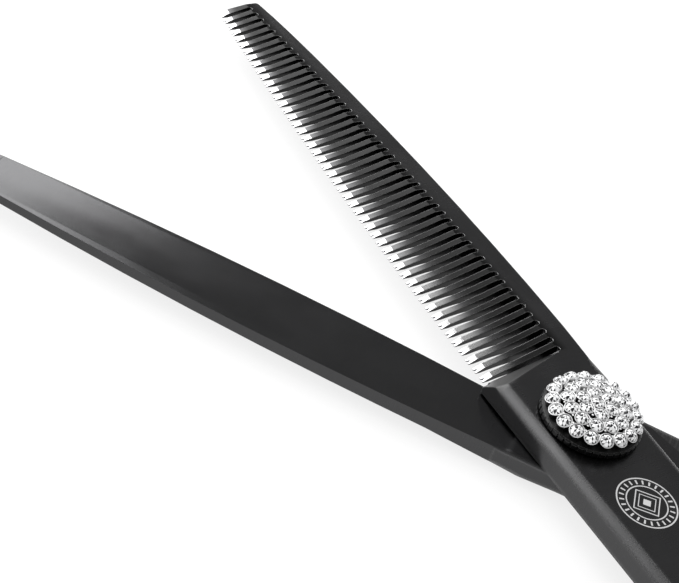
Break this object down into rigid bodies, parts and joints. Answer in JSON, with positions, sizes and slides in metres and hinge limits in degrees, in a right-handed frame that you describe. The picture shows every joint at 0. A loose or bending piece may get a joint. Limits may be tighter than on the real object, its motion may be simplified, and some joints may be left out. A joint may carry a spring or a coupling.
{
  "type": "thinning shears",
  "caption": "Hair thinning shears: a toothed blade over a plain blade on one adjustable pivot with a crystal-set tension knob, ring handles and a finger rest.",
  "frame": {"origin": "pivot axis at the flat back face of the pivot bolt's head, on which the shears lie", "axes": "+Z along the pivot towards the tension knob; +X from the pivot along the plain blade towards its tip"},
  "size_m": [0.1622, 0.1295, 0.0091],
  "materials": {
    "blade_coating": "satin black coating over ground steel",
    "knob_coating": "black coating",
    "bolt_steel": "dark turned steel",
    "washer_steel": "bright spring steel",
    "bush_bronze": "sintered bronze",
    "washer_plastic": "low-friction plastic",
    "ring_rubber": "soft matt black silicone",
    "bumper_rubber": "black rubber",
    "cup_silver": "polished silvery setting",
    "crystal": "clear cut crystal with a mirror back"
  },
  "bodies": {
    "plain_side": {"plain_half": "blade_coating", "pivot_bolt": "bolt_steel", "click_plate": "washer_steel", "thumb_insert": "ring_rubber", "bumper_stud": "bolt_steel", "bumper": "bumper_rubber"},
    "toothed_side": {"toothed_half": "blade_coating", "pivot_bush": "bush_bronze", "ride_washer": "washer_plastic", "spring_seat": "washer_steel", "wave_spring": "washer_steel", "finger_insert": "ring_rubber", "rest_stud": "bolt_steel", "rest_washer": "washer_plastic", "finger_rest": "blade_coating"},
    "knob": {"knob_base": "knob_coating", "click_spring": "washer_steel", "dome_plate": "knob_coating", "cups_inner": "cup_silver", "cups_middle": "cup_silver", "cups_outer": "cup_silver", "stones_inner": "crystal", "stones_middle": "crystal", "stones_outer": "crystal", "stone_centre": "crystal"}
  },
  "joints": [
    {"name": "blade_pivot", "type": "hinge", "parent": "plain_side", "child": "toothed_side", "pos_m": [0, 0, 0.0034], "axis": [0, 0, 1], "range_deg": [-70, 36]},
    {"name": "tension_knob", "type": "hinge", "parent": "plain_side", "child": "knob", "pos_m": [0, 0, 0.0066], "axis": [0, 0, 1], "range_deg": [-60, 60]}
  ]
}
